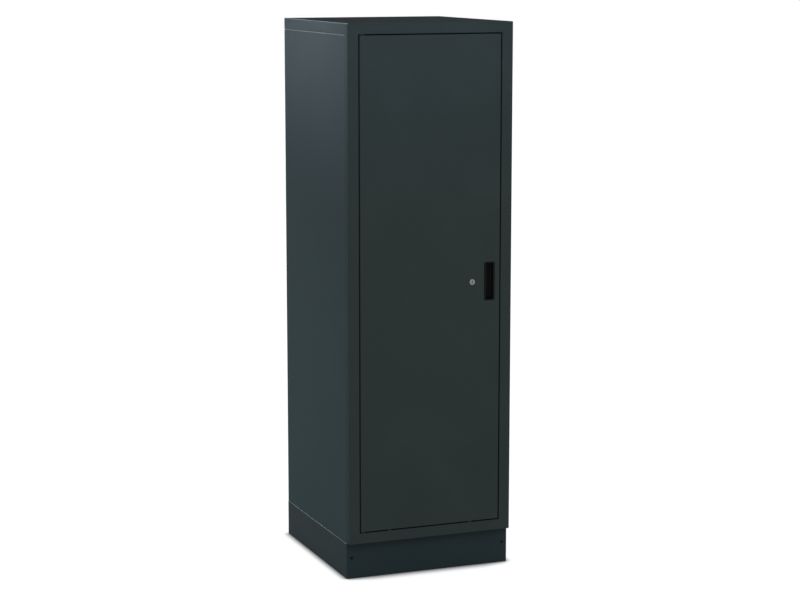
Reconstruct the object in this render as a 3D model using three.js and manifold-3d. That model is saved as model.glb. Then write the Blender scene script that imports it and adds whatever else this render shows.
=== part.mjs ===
// Tall steel workshop locker on a plinth, in folded sheet: a mitred front frame, one inset door on
// pin hinges, a key lock that drives two locking rods, a recessed pull and four adjustable shelves.
// Millimetres, +Z up, front towards -Y, with the origin on the floor under the locker's centre.
import * as THREE from "three";
import { mergeVertices } from "three/addons/utils/BufferGeometryUtils.js";
import Module from "manifold-3d";

// Overall size
const OVERALL_WIDTH = 632;
const OVERALL_DEPTH = 688;
const OVERALL_HEIGHT = 2000;

// Clearances
const FIT_GAP = 0.3; // between pieces that are fixed to each other
const RUNNING_GAP = 0.4; // round a turning or sliding piece
const INSIDE_BEND = 1.5; // inside radius of every fold

// Carcass panels
const PANEL_SHEET = 1.2;
const PANEL_FLANGE = 18;
const CAP_SKIRT = 41;
const CAP_FRONT_FLANGE = 15;
const BACK_TONGUE = 20; // part of the back panel that reaches up behind the cap's skirt
const FLOOR_DROP = 10; // floor below the bottom rail's inner edge
const FLOOR_FLANGE = 22;

// Front frame
const FRAME_SHEET = 1.5;
const STILE_FACE = 42;
const RAIL_FACE = 39;
const STOP_LIP = 12; // lip behind the door, all round the doorway
const STOP_SPACE = 4.5; // between the door's back and the lip

// Plinth
const PLINTH_HEIGHT = 133;
const PLINTH_SETBACK = 25;
const PLINTH_SHEET = 1.5;
const PLINTH_RETURN = 20;
const PLINTH_FLANGE = 40;
const PLINTH_NOTCH_CLEARANCE = 3; // between a board's return and the side board's flange
const PLINTH_SCREW_FROM_SIDE = 18.5;
const PLINTH_SCREW_HEIGHT = 77;
const PLINTH_SCREW_RADIUS = 3;
const PLINTH_SCREW_LENGTH = 12;
const PLINTH_SCREW_HEAD_RADIUS = 5;
const PLINTH_SCREW_HEAD_HEIGHT = 2.4;
const PLINTH_SCREW_HEAD_CHAMFER = 1.4;
const PLINTH_SCREW_SOCKET_RADIUS = 2.3;
const PLINTH_SCREW_SOCKET_DEPTH = 1.5;

// Door
const DOOR_GAP = 4;
const DOOR_THICKNESS = 22;
const DOOR_SHEET = 1.2;
const DOOR_LIP = 20;
const STIFFENER_SHEET = 1;
const STIFFENER_CROWN = 40;
const STIFFENER_FOOT = 16;
const BUMPER_RADIUS = 3.5;
const BUMPER_CHAMFER = 1;
const BUMPER_FROM_DOOR_EDGE = 4;
const BUMPER_FROM_DOOR_END = 160;
const PAD_FROM_CENTRE = 158;
const PAD_WIDTH = 12;
const PAD_DEPTH = 14;
const PAD_FROM_FRONT = 2;
const PAD_CORNER = 1.5;

// Hinges: a pin in each rail and a bush in the door
const PIVOT_FROM_EDGE = 10;
const PIVOT_FROM_FACE = 9;
const PIN_RADIUS = 4;
const PIN_REACH = 14; // into the door
const PIN_TIP_CHAMFER = 1;
const PIN_HEAD_RADIUS = 5.2;
const PIN_HEAD_HEIGHT = 3;
const BUSH_WALL = 1.6;
const BUSH_REACH = 12; // into the door
const BUSH_FLANGE_WIDTH = 2.4; // of the bush's flange outside its barrel

// Recessed pull
const PULL_FROM_EDGE = 41;
const PULL_WIDTH = 41;
const PULL_LENGTH = 140;
const PULL_CORNER = 5;
const PULL_FLANGE = 2;
const PULL_EDGE = 0.8; // rounding of the flange's rim
const MOUTH_WIDTH = 27;
const MOUTH_LENGTH = 132;
const CUP_DEPTH = 15;
const CUP_WALL = 1.8;
const CUP_FLOOR_RADIUS = 9;
const GRIP_UNDERCUT = 3; // room for the fingertips behind the grip edge
const GRIP_THICKNESS = 1.5; // of the grip edge behind the door's face

// Lock
const LOCK_FROM_EDGE = 109;
const LOCK_FACE_RADIUS = 10.5;
const LOCK_FACE_HEIGHT = 2;
const LOCK_FACE_CHAMFER = 0.6;
const LOCK_BODY_RADIUS = 9;
const LOCK_TAIL = 5; // tail between the barrel and the cam
const PLUG_RADIUS = 6;
const PLUG_RECESS = 0.4; // plug's face below the barrel's
const TAIL_SIDE = 7; // of the plug's square tail
const KEYWAY_WIDTH = 1.6;
const KEYWAY_LENGTH = 8;
const KEYWAY_DEPTH = 5;
const NUT_RADIUS = 14; // over the corners
const NUT_HEIGHT = 5;
const CAM_THICKNESS = 2.5;
const CAM_END_RADIUS = 7;
const CRANK_RADIUS = 14;
const CRANK_PIN_RADIUS = 2.5;
const CRANK_PIN_PROUD = 2; // of the rod's back
const CRANK_HALF_TURN = Math.PI / 4; // each way from level
const CAM_SCREW_RADIUS = 2;
const CAM_SCREW_REACH = 8; // into the tail
const CAM_SCREW_HEAD_RADIUS = 4;
const CAM_SCREW_HEAD_HEIGHT = 2.4;
const CAM_SCREW_SLOT = 0.9;

// Locking rods
const ROD_WIDTH = 15;
const ROD_THICKNESS = 3;
const ROD_SETBACK = 1; // behind the stop lip
const ROD_TIP_CLEARANCE = 3; // between a drawn-in rod and the stop lip's edge
const ROD_TIP_TAPER = 4;
const YOKE_CLEARANCE = 0.6; // round the crank pin in the rod's slot
const YOKE_MARGIN = 5; // metal beyond the slot
const GUIDE_WALL = 4;
const GUIDE_HEIGHT = 18;
const GUIDE_FOOT = 10; // foot beyond the guide's loop
const GUIDE_LIP_CLEARANCE = 1.2; // between the foot and the stop lip

// Shelving
const SHELF_COUNT = 4;
const SHELF_SHEET = 1;
const SHELF_DROP = 28;
const SHELF_LIP = 12;
const SHELF_FRONT_CLEARANCE = 12; // behind the rod guides
const SHELF_BACK_CLEARANCE = 4;
const UPRIGHT_SHEET = 1.2;
const UPRIGHT_WIDTH = 30;
const UPRIGHT_DEPTH = 24;
const UPRIGHT_FROM_SHELF_FRONT = 12;
const UPRIGHT_FROM_SHELF_BACK = 40;
const SLOT_PITCH = 40;
const SLOT_END_MARGIN = 60;
const CLIP_SHEET = 2;
const CLIP_INSIDE_BEND = 0.6;
const CLIP_WIDTH = 12;
const CLIP_SEAT = 12;
const CLIP_RISE = 14;
const CLIP_HOOK = 5;

// Facets
const BEND_STEPS = 3;
const CORNER_STEPS = 5;
const ROUND_STEPS = 28;

// Places worked out from the sizes above
const left = -OVERALL_WIDTH / 2;
const right = OVERALL_WIDTH / 2;
const front = -OVERALL_DEPTH / 2;
const back = OVERALL_DEPTH / 2;
const frameDepth = DOOR_THICKNESS + STOP_SPACE + FRAME_SHEET;
const panelFront = front + frameDepth + FIT_GAP;
const panelTop = OVERALL_HEIGHT - CAP_SKIRT - FIT_GAP;
const clearOfBend = PANEL_SHEET + INSIDE_BEND + FIT_GAP; // inside a panel's edge, past its fold
const backPanelFront = back - 2 * PANEL_SHEET - FIT_GAP;
const floorTop = PLINTH_HEIGHT + RAIL_FACE - FLOOR_DROP;
const doorLeft = left + STILE_FACE + DOOR_GAP;
const doorWidth = OVERALL_WIDTH - 2 * (STILE_FACE + DOOR_GAP);
const doorBottom = PLINTH_HEIGHT + RAIL_FACE + DOOR_GAP;
const doorHeight = OVERALL_HEIGHT - RAIL_FACE - DOOR_GAP - doorBottom;
const rodFront = frameDepth + ROD_SETBACK;
const rodBack = rodFront + ROD_THICKNESS;
const camBack = rodFront - FIT_GAP;
const camFront = camBack - CAM_THICKNESS;
const rodOffset = CRANK_RADIUS * (1 + Math.cos(CRANK_HALF_TURN)) / 2;
const guideBack = rodBack + GUIDE_WALL;
const bushRadius = PIN_RADIUS + RUNNING_GAP + BUSH_WALL;
const shelfFront = front + guideBack + SHELF_FRONT_CLEARANCE;
const shelfBack = backPanelFront - SHELF_BACK_CLEARANCE;
const uprightBottom = floorTop + FIT_GAP;
const uprightHeight = panelTop - clearOfBend - uprightBottom;
const uprightFace = OVERALL_WIDTH / 2 - PANEL_SHEET - FIT_GAP - UPRIGHT_DEPTH;
const slotHeight = CLIP_SHEET + CLIP_HOOK + 2 * FIT_GAP;

const halfTurn = [0, 0, Math.PI]; // rotation about the upright axis

const X = new THREE.Vector3(1, 0, 0);
const Y = new THREE.Vector3(0, 1, 0);
const Z = new THREE.Vector3(0, 0, 1);

const wasm = await Module();
wasm.setup();

// Cutting and joining

function toSolid(geometry) {
  const bare = geometry.clone();
  bare.deleteAttribute("normal");
  bare.deleteAttribute("uv");
  const merged = mergeVertices(bare, 1e-4);
  const vertProperties = new Float32Array(merged.attributes.position.array);
  const triVerts = new Uint32Array(merged.index.array);
  return new wasm.Manifold(new wasm.Mesh({ numProp: 3, vertProperties, triVerts }));
}

function toGeometry(solid) {
  const mesh = solid.getMesh();
  const geometry = new THREE.BufferGeometry();
  geometry.setAttribute("position", new THREE.BufferAttribute(mesh.vertProperties, 3));
  geometry.setIndex(new THREE.BufferAttribute(mesh.triVerts, 1));
  geometry.computeVertexNormals();
  return geometry;
}

function cut(geometry, ...tools) {
  const solids = tools.map(toSolid);
  return toGeometry(solids.reduce((rest, tool) => rest.subtract(tool), toSolid(geometry)));
}

function join(...geometries) {
  const solids = geometries.map(toSolid);
  return toGeometry(solids.reduce((sum, solid) => sum.add(solid)));
}

function common(first, second) {
  return toGeometry(toSolid(first).intersect(toSolid(second)));
}

// Basic forms

// Turns a geometry so that its own x and y axes lie along the two directions given.
function turned(geometry, along, across) {
  const third = new THREE.Vector3().crossVectors(along, across);
  return geometry.applyMatrix4(new THREE.Matrix4().makeBasis(along, across, third));
}

function box(low, high) {
  const size = high.map((value, axis) => value - low[axis]);
  const middle = high.map((value, axis) => (value + low[axis]) / 2);
  return new THREE.BoxGeometry(...size).translate(...middle);
}

function rectangle(low, high) {
  const shape = new THREE.Shape();
  shape.moveTo(low[0], low[1]);
  shape.lineTo(high[0], low[1]);
  shape.lineTo(high[0], high[1]);
  shape.lineTo(low[0], high[1]);
  return shape;
}

function roundedRectangle(width, height, radius) {
  const x = width / 2 - radius;
  const y = height / 2 - radius;
  const shape = new THREE.Shape();
  shape.absarc(x, y, radius, 0, Math.PI / 2);
  shape.absarc(-x, y, radius, Math.PI / 2, Math.PI);
  shape.absarc(-x, -y, radius, Math.PI, 1.5 * Math.PI);
  shape.absarc(x, -y, radius, 1.5 * Math.PI, 2 * Math.PI);
  return shape;
}

function extrude(shape, depth) {
  return new THREE.ExtrudeGeometry(shape, { depth, bevelEnabled: false, curveSegments: CORNER_STEPS });
}

// Block on a rectangle, from one height to another, with the edges of both ends rounded.
function roundedBlock(low, high, bottom, top, radius) {
  const shape = rectangle(low.map((value) => value + radius), high.map((value) => value - radius));
  const block = new THREE.ExtrudeGeometry(shape, {
    depth: top - bottom - 2 * radius,
    bevelThickness: radius,
    bevelSize: radius,
    bevelSegments: BEND_STEPS,
  });
  return block.translate(0, 0, bottom + radius);
}

// Section of a folded sheet. One face follows the points, and the sheet lies to the left of them.
function foldedSection(points, sheet, insideBend = INSIDE_BEND) {
  const corners = points.map((point) => new THREE.Vector2(...point));
  const near = [];
  const far = [];
  corners.forEach((corner, index) => {
    const ahead = corners[index + 1] ?? corner;
    const behind = corners[index - 1] ?? corner;
    const arriving = corner.clone().sub(behind).normalize();
    const leaving = ahead.clone().sub(corner).normalize();
    const first = index === 0 ? leaving : arriving;
    const leftOf = new THREE.Vector2(-first.y, first.x);
    const turn = Math.atan2(arriving.cross(leaving), arriving.dot(leaving));
    if (turn === 0) {
      near.push(corner);
      far.push(corner.clone().addScaledVector(leftOf, sheet));
      return;
    }
    const side = Math.sign(turn);
    const nearRadius = side > 0 ? insideBend + sheet : insideBend;
    const farRadius = nearRadius - side * sheet;
    const start = corner.clone().addScaledVector(arriving, -nearRadius * Math.tan(Math.abs(turn) / 2));
    const centre = start.clone().addScaledVector(leftOf, side * nearRadius);
    const spoke = leftOf.clone().multiplyScalar(-side);
    for (let step = 0; step <= BEND_STEPS; step += 1) {
      const ray = spoke.clone().rotateAround(new THREE.Vector2(), turn * step / BEND_STEPS);
      near.push(centre.clone().addScaledVector(ray, nearRadius));
      far.push(centre.clone().addScaledVector(ray, farRadius));
    }
  });
  return new THREE.Shape([...near, ...far.reverse()]);
}

// Sheet pan with a flange on each edge and, where asked, a lip turned in from each flange. Its show
// face lies in the xy plane with one corner at the origin, and its flanges run towards +z.
function pan(length, width, depth, sheet, lip = 0) {
  const bend = INSIDE_BEND + sheet;
  const inner = [length - sheet, width - sheet];
  if (lip > 0) {
    const block = roundedBlock([0, 0], [length, width], 0, depth, bend);
    const hollow = roundedBlock([sheet, sheet], inner, sheet, depth - sheet, INSIDE_BEND);
    const mouth = box([lip, lip, depth / 2], [length - lip, width - lip, 2 * depth]);
    return cut(block, hollow, mouth);
  }
  const block = roundedBlock([0, 0], [length, width], 0, 2 * depth, bend);
  const hollow = roundedBlock([sheet, sheet], inner, sheet, 3 * depth, INSIDE_BEND);
  const spare = box([-depth, -depth, depth], [length + depth, width + depth, 3 * depth]);
  return cut(block, hollow, spare);
}

// Turned piece about the y axis, from radius and height pairs that run up its outer side.
function revolve(profile) {
  return new THREE.LatheGeometry(profile.map((point) => new THREE.Vector2(...point)), ROUND_STEPS);
}

// Round bar or hole along the y axis, from one y to another.
function roundBar(radius, low, high) {
  const bar = new THREE.CylinderGeometry(radius, radius, high - low, ROUND_STEPS);
  return bar.translate(0, (low + high) / 2, 0);
}

// Materials

function finish(color, roughness, metalness) {
  return () => new THREE.MeshStandardMaterial({ color, roughness, metalness, flatShading: true });
}

const paintedSteel = finish(0x353d40, 0.5, 0.1);
const paintedDoor = finish(0x2f383a, 0.5, 0.1);
const paintedPlinth = finish(0x272f30, 0.6, 0.1);
const galvanized = finish(0x9a9fa2, 0.45, 0.8);
const zincPlated = finish(0xa8abad, 0.35, 0.9);
const nickelPlated = finish(0x8d9092, 0.3, 0.9);
const blackOxide = finish(0x141617, 0.5, 0.6);
const blackPlastic = finish(0x17191a, 0.55, 0);
const greyNylon = finish(0x4a5052, 0.6, 0);
const blackRubber = finish(0x1b1c1d, 0.85, 0);

function addPiece(parent, name, geometry, material, position = [0, 0, 0], rotation = [0, 0, 0]) {
  const mesh = new THREE.Mesh(geometry, material());
  mesh.name = name;
  mesh.position.set(...position);
  mesh.rotation.set(...rotation);
  parent.add(mesh);
  return mesh;
}

const locker = new THREE.Group();

// Front frame: four folded channels with a stop lip, mitred where they meet

// One member along +z. Its section's x runs in from the frame's outer edge and its y back from the
// front, and each end is mitred towards the corner of the doorway.
function frameMember(face, nextFace, length, mitreGap, pinHoleAt) {
  const stopDepth = frameDepth - FRAME_SHEET;
  const section = foldedSection([
    [0, frameDepth],
    [0, 0],
    [face, 0],
    [face, stopDepth],
    [face + STOP_LIP, stopDepth],
  ], FRAME_SHEET);
  const reach = face + 2 * STOP_LIP;
  const slope = nextFace / face;
  const outline = new THREE.Shape([
    new THREE.Vector2(mitreGap, 0),
    new THREE.Vector2(length - mitreGap, 0),
    new THREE.Vector2(length - mitreGap - reach * slope, reach),
    new THREE.Vector2(mitreGap + reach * slope, reach),
  ]);
  const trim = turned(extrude(outline, 3 * frameDepth), Z, X).translate(0, -frameDepth, 0);
  const member = common(extrude(section, length), trim);
  if (pinHoleAt === undefined) {
    return member;
  }
  const hole = turned(roundBar(PIN_RADIUS + RUNNING_GAP, face - 2 * FRAME_SHEET, face + FRAME_SHEET), Z, X);
  return cut(member, hole.translate(0, PIVOT_FROM_FACE, pinHoleAt));
}

const pivotFromLeft = STILE_FACE + DOOR_GAP + PIVOT_FROM_EDGE;
const stile = frameMember(STILE_FACE, RAIL_FACE, OVERALL_HEIGHT - PLINTH_HEIGHT, FIT_GAP);
const topRail = frameMember(RAIL_FACE, STILE_FACE, OVERALL_WIDTH, 0, pivotFromLeft);
const bottomRail = frameMember(RAIL_FACE, STILE_FACE, OVERALL_WIDTH, 0, OVERALL_WIDTH - pivotFromLeft);
addPiece(locker, "left_stile", stile, paintedDoor, [left, front, PLINTH_HEIGHT]);
addPiece(locker, "right_stile", stile, paintedDoor, [right, front, OVERALL_HEIGHT], [0, Math.PI, 0]);
addPiece(locker, "top_rail", topRail, paintedDoor, [left, front, OVERALL_HEIGHT], [0, Math.PI / 2, 0]);
addPiece(locker, "bottom_rail", bottomRail, paintedDoor, [right, front, PLINTH_HEIGHT], [0, -Math.PI / 2, 0]);

// Carcass: side trays, top cap, back panel and floor

const panelLength = back - panelFront;
const sidePanel = turned(pan(panelLength, panelTop - PLINTH_HEIGHT, PANEL_FLANGE, PANEL_SHEET), Y, Z);
addPiece(locker, "left_side_panel", sidePanel, paintedSteel, [left, panelFront, PLINTH_HEIGHT]);
addPiece(locker, "right_side_panel", sidePanel, paintedSteel, [right, back, PLINTH_HEIGHT], halfTurn);

function capGeometry() {
  const tray = turned(pan(panelLength, OVERALL_WIDTH, CAP_SKIRT, PANEL_SHEET), Y, X);
  const lowerFront = box(
    [PANEL_SHEET, -PANEL_SHEET, -2 * CAP_SKIRT],
    [OVERALL_WIDTH - PANEL_SHEET, 2 * PANEL_SHEET, -CAP_FRONT_FLANGE],
  );
  return cut(tray, lowerFront);
}

addPiece(locker, "top_cap", capGeometry(), paintedSteel, [left, panelFront, OVERALL_HEIGHT]);

// Flat sheet behind the side panels' flanges. Its top corners are notched round their upper flanges,
// and the tongue between the notches reaches up behind the cap's skirt.
function backPanelGeometry() {
  const sheetEdge = OVERALL_WIDTH / 2 - clearOfBend;
  const tongueEdge = OVERALL_WIDTH / 2 - PANEL_FLANGE - FIT_GAP;
  const bottom = PLINTH_HEIGHT + clearOfBend;
  const shoulder = panelTop - clearOfBend;
  const outline = new THREE.Shape();
  outline.moveTo(-sheetEdge, bottom);
  outline.lineTo(sheetEdge, bottom);
  outline.lineTo(sheetEdge, shoulder);
  outline.lineTo(tongueEdge, shoulder);
  outline.lineTo(tongueEdge, shoulder + BACK_TONGUE);
  outline.lineTo(-tongueEdge, shoulder + BACK_TONGUE);
  outline.lineTo(-tongueEdge, shoulder);
  outline.lineTo(-sheetEdge, shoulder);
  return turned(extrude(outline, PANEL_SHEET), X, Z);
}

addPiece(locker, "back_panel", backPanelGeometry(), paintedSteel, [0, backPanelFront + PANEL_SHEET, 0]);

const floorFront = panelFront + PANEL_SHEET + FIT_GAP;
const floorLeft = left + clearOfBend;
const floorTray = pan(backPanelFront - FIT_GAP - floorFront, -2 * floorLeft, FLOOR_FLANGE, PANEL_SHEET);
addPiece(locker, "floor_tray", turned(floorTray, Y, X), paintedSteel, [floorLeft, floorFront, floorTop]);

// Plinth: two side boards folded round the corners, and a front and a back board that close them

const plinthTop = PLINTH_HEIGHT - FIT_GAP;
const plinthFront = front + PLINTH_SETBACK;
const plinthSideLength = OVERALL_DEPTH - PLINTH_SETBACK - 2 * (PLINTH_SHEET + FIT_GAP);
const screwHole = roundBar(PLINTH_SCREW_RADIUS + FIT_GAP, -PLINTH_SHEET, 3 * PLINTH_SHEET);

function plinthSide(screwAtEnd) {
  const section = foldedSection([
    [PLINTH_FLANGE, plinthSideLength],
    [0, plinthSideLength],
    [0, 0],
    [PLINTH_FLANGE, 0],
  ], PLINTH_SHEET);
  const screwDepth = screwAtEnd ? plinthSideLength - PLINTH_SHEET : 0;
  return cut(
    extrude(section, plinthTop),
    screwHole.clone().translate(PLINTH_SCREW_FROM_SIDE, screwDepth, PLINTH_SCREW_HEIGHT),
  );
}

// Board along x with its show face at y = 0. Its returns stop short of the side boards' flanges.
function plinthBoard(screwPlaces) {
  const section = foldedSection([
    [0, PLINTH_RETURN],
    [0, 0],
    [plinthTop, 0],
    [plinthTop, PLINTH_RETURN],
  ], PLINTH_SHEET);
  const board = turned(extrude(section, OVERALL_WIDTH), Z, Y).translate(right, 0, 0);
  const notchEdge = OVERALL_WIDTH / 2 - PLINTH_FLANGE - PLINTH_NOTCH_CLEARANCE;
  const notch = [OVERALL_WIDTH, 2 * PLINTH_RETURN, 2 * PLINTH_HEIGHT];
  return cut(
    board,
    box([notchEdge, PLINTH_SHEET, -PLINTH_HEIGHT], notch),
    box([-OVERALL_WIDTH, PLINTH_SHEET, -PLINTH_HEIGHT], [-notchEdge, notch[1], notch[2]]),
    ...screwPlaces.map((x) => screwHole.clone().translate(x, 0, PLINTH_SCREW_HEIGHT)),
  );
}

// Button-head screw along y, with its head's underside at y = 0 and a hexagon socket.
function plinthScrew() {
  const headTop = -PLINTH_SCREW_HEAD_HEIGHT;
  const body = revolve([
    [0, headTop],
    [PLINTH_SCREW_HEAD_RADIUS - PLINTH_SCREW_HEAD_CHAMFER, headTop],
    [PLINTH_SCREW_HEAD_RADIUS, headTop + PLINTH_SCREW_HEAD_CHAMFER],
    [PLINTH_SCREW_HEAD_RADIUS, -FIT_GAP],
    [PLINTH_SCREW_RADIUS, -FIT_GAP],
    [PLINTH_SCREW_RADIUS, PLINTH_SCREW_LENGTH],
    [0, PLINTH_SCREW_LENGTH],
  ]);
  const socketRadius = PLINTH_SCREW_SOCKET_RADIUS;
  const socket = new THREE.CylinderGeometry(socketRadius, socketRadius, 2 * PLINTH_SCREW_SOCKET_DEPTH, 6);
  return cut(body, socket.translate(0, headTop, 0));
}

const screwX = OVERALL_WIDTH / 2 - PLINTH_SCREW_FROM_SIDE;
const plinthSideFront = plinthFront + PLINTH_SHEET + FIT_GAP;
const plinthSideBack = back - PLINTH_SHEET - FIT_GAP;
addPiece(locker, "plinth_left", plinthSide(false), paintedPlinth, [left, plinthSideFront, 0]);
addPiece(locker, "plinth_right", plinthSide(true), paintedPlinth, [right, plinthSideBack, 0], halfTurn);
addPiece(locker, "plinth_front", plinthBoard([-screwX, screwX]), paintedPlinth, [0, plinthFront, 0]);
addPiece(locker, "plinth_back", plinthBoard([]), paintedPlinth, [0, back, 0], halfTurn);
addPiece(locker, "plinth_screw_left", plinthScrew(), blackOxide, [-screwX, plinthFront, PLINTH_SCREW_HEIGHT]);
addPiece(locker, "plinth_screw_right", plinthScrew(), blackOxide, [screwX, plinthFront, PLINTH_SCREW_HEIGHT]);

// Shelving: slotted uprights on the side panels, clips hooked into them, and the shelves

const slotCount = Math.floor((uprightHeight - 2 * SLOT_END_MARGIN) / SLOT_PITCH) + 1;

function slotBottom(index) {
  return SLOT_END_MARGIN + index * SLOT_PITCH;
}

// Channel on the side panel, with its slotted face towards the shelves at x = UPRIGHT_DEPTH.
function uprightGeometry() {
  const section = foldedSection([
    [0, 0],
    [UPRIGHT_DEPTH, 0],
    [UPRIGHT_DEPTH, UPRIGHT_WIDTH],
    [0, UPRIGHT_WIDTH],
  ], UPRIGHT_SHEET);
  const slotStart = (UPRIGHT_WIDTH - CLIP_WIDTH) / 2 - FIT_GAP;
  const slots = [];
  for (let index = 0; index < slotCount; index += 1) {
    slots.push(box(
      [UPRIGHT_DEPTH - 2 * UPRIGHT_SHEET, slotStart, slotBottom(index)],
      [UPRIGHT_DEPTH + UPRIGHT_SHEET, UPRIGHT_WIDTH - slotStart, slotBottom(index) + slotHeight],
    ));
  }
  return cut(extrude(section, uprightHeight), ...slots);
}

// Clip with its seat's top at z = 0 and the upright's face at x = 0. It rises along that face, passes
// through a slot and turns up behind it.
function clipGeometry() {
  const standing = FIT_GAP + CLIP_SHEET;
  const behindFace = -UPRIGHT_SHEET - FIT_GAP;
  const section = foldedSection([
    [standing + CLIP_SEAT, 0],
    [standing, 0],
    [standing, CLIP_RISE],
    [behindFace, CLIP_RISE],
    [behindFace, CLIP_RISE + CLIP_HOOK],
  ], CLIP_SHEET, CLIP_INSIDE_BEND);
  return turned(extrude(section, CLIP_WIDTH), X, Z).translate(0, CLIP_WIDTH / 2, 0);
}

const upright = uprightGeometry();
const clip = clipGeometry();
const shelfHalfWidth = uprightFace - CLIP_SHEET - 2 * FIT_GAP;
const shelfDepth = shelfBack - shelfFront;
const shelf = turned(pan(shelfDepth, 2 * shelfHalfWidth, SHELF_DROP, SHELF_SHEET, SHELF_LIP), Y, X);
const frontUprightY = shelfFront + UPRIGHT_FROM_SHELF_FRONT;
const rearUprightY = shelfBack - UPRIGHT_FROM_SHELF_BACK - UPRIGHT_WIDTH;
const uprightFoot = uprightFace + UPRIGHT_DEPTH;

for (const [row, y] of [["front", frontUprightY], ["rear", rearUprightY]]) {
  const leftPlace = [-uprightFoot, y, uprightBottom];
  const rightPlace = [uprightFoot, y + UPRIGHT_WIDTH, uprightBottom];
  addPiece(locker, `upright_${row}_left`, upright, galvanized, leftPlace);
  addPiece(locker, `upright_${row}_right`, upright, galvanized, rightPlace, halfTurn);
}

for (let number = 1; number <= SHELF_COUNT; number += 1) {
  const slot = Math.round(slotCount * number / (SHELF_COUNT + 1)) - 1;
  const seat = uprightBottom + slotBottom(slot) + FIT_GAP + CLIP_SHEET - CLIP_RISE;
  const shelfTop = seat + FIT_GAP + SHELF_DROP;
  addPiece(locker, `shelf_${number}`, shelf, galvanized, [-shelfHalfWidth, shelfFront, shelfTop]);
  for (const [row, y] of [["front", frontUprightY], ["rear", rearUprightY]]) {
    const middle = y + UPRIGHT_WIDTH / 2;
    addPiece(locker, `clip_${number}_${row}_left`, clip, zincPlated, [-uprightFace, middle, seat]);
    addPiece(locker, `clip_${number}_${row}_right`, clip, zincPlated, [uprightFace, middle, seat], halfTurn);
  }
}

// Door: its group stands on the hinge axis at the door's lower edge

const door = new THREE.Group();
door.position.set(doorLeft + PIVOT_FROM_EDGE, front + PIVOT_FROM_FACE, doorBottom);
locker.add(door);

const doorFaceY = -PIVOT_FROM_FACE;
const doorEdgeX = doorWidth - PIVOT_FROM_EDGE;
const middleHeight = doorHeight / 2;
const pullX = doorEdgeX - PULL_FROM_EDGE;
const lockX = doorEdgeX - LOCK_FROM_EDGE;

// Section of the pull's cup across the door, as x and height over the door's face, grown all round by
// the wall given. Its right side reaches past the mouth, behind the grip edge.
function cupSection(grown, top) {
  const leftSide = -MOUTH_WIDTH / 2 - grown;
  const rightSide = MOUTH_WIDTH / 2 + GRIP_UNDERCUT + grown;
  const floor = -CUP_DEPTH - grown;
  const radius = CUP_FLOOR_RADIUS + grown;
  const section = new THREE.Shape();
  section.moveTo(leftSide, top);
  section.lineTo(leftSide, floor + radius);
  section.absarc(leftSide + radius, floor + radius, radius, Math.PI, 1.5 * Math.PI);
  section.absarc(rightSide - radius, floor + radius, radius, 1.5 * Math.PI, 2 * Math.PI);
  section.lineTo(rightSide, top);
  return section;
}

// The pull stands with its flange on the door's face at z = 0, and its length along y.
function pullGeometry() {
  const rim = new THREE.ExtrudeGeometry(
    roundedRectangle(PULL_WIDTH - 2 * PULL_EDGE, PULL_LENGTH - 2 * PULL_EDGE, PULL_CORNER - PULL_EDGE),
    {
      depth: PULL_FLANGE,
      bevelThickness: PULL_EDGE,
      bevelSize: PULL_EDGE,
      bevelSegments: BEND_STEPS,
      curveSegments: CORNER_STEPS,
    },
  ).translate(0, 0, -PULL_EDGE);
  const flange = cut(rim, box([-PULL_WIDTH, -PULL_LENGTH, -PULL_FLANGE], [PULL_WIDTH, PULL_LENGTH, FIT_GAP]));
  const outerLength = MOUTH_LENGTH + 2 * CUP_WALL;
  const cup = turned(extrude(cupSection(CUP_WALL, PULL_FLANGE / 2), outerLength), X, Z);
  const hollow = turned(extrude(cupSection(0, -GRIP_THICKNESS), MOUTH_LENGTH), X, Z);
  const mouth = box(
    [-MOUTH_WIDTH / 2, -MOUTH_LENGTH / 2, -GRIP_THICKNESS - GRIP_UNDERCUT],
    [MOUTH_WIDTH / 2, MOUTH_LENGTH / 2, 2 * PULL_FLANGE],
  );
  const shell = join(flange, cup.translate(0, outerLength / 2, 0));
  return turned(cut(shell, hollow.translate(0, MOUTH_LENGTH / 2, 0), mouth), X, Z);
}

// Folded pan with the cut-outs for the pull, the lock and the two hinge bushes.
function doorPanGeometry() {
  const cutoutLeft = pullX - MOUTH_WIDTH / 2 - CUP_WALL - FIT_GAP;
  const cutoutRight = pullX + MOUTH_WIDTH / 2 + GRIP_UNDERCUT + CUP_WALL + FIT_GAP;
  const cutoutHalfHeight = MOUTH_LENGTH / 2 + CUP_WALL + FIT_GAP;
  const pullCutout = box(
    [cutoutLeft, doorFaceY - DOOR_SHEET, middleHeight - cutoutHalfHeight],
    [cutoutRight, doorFaceY + 2 * DOOR_SHEET, middleHeight + cutoutHalfHeight],
  );
  const lockHole = roundBar(LOCK_BODY_RADIUS + RUNNING_GAP, -DOOR_SHEET, 2 * DOOR_SHEET);
  const bushHole = turned(roundBar(bushRadius + RUNNING_GAP, -2 * DOOR_SHEET, 2 * DOOR_SHEET), X, Z);
  const skin = turned(pan(doorHeight, doorWidth, DOOR_THICKNESS, DOOR_SHEET, DOOR_LIP), Z, X);
  return cut(
    skin.translate(-PIVOT_FROM_EDGE, doorFaceY, 0),
    pullCutout,
    lockHole.translate(lockX, doorFaceY, middleHeight),
    bushHole.clone(),
    bushHole.clone().translate(0, 0, doorHeight),
  );
}

const stiffenerStart = DOOR_SHEET + INSIDE_BEND + FIT_GAP; // from the door's lower edge

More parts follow.
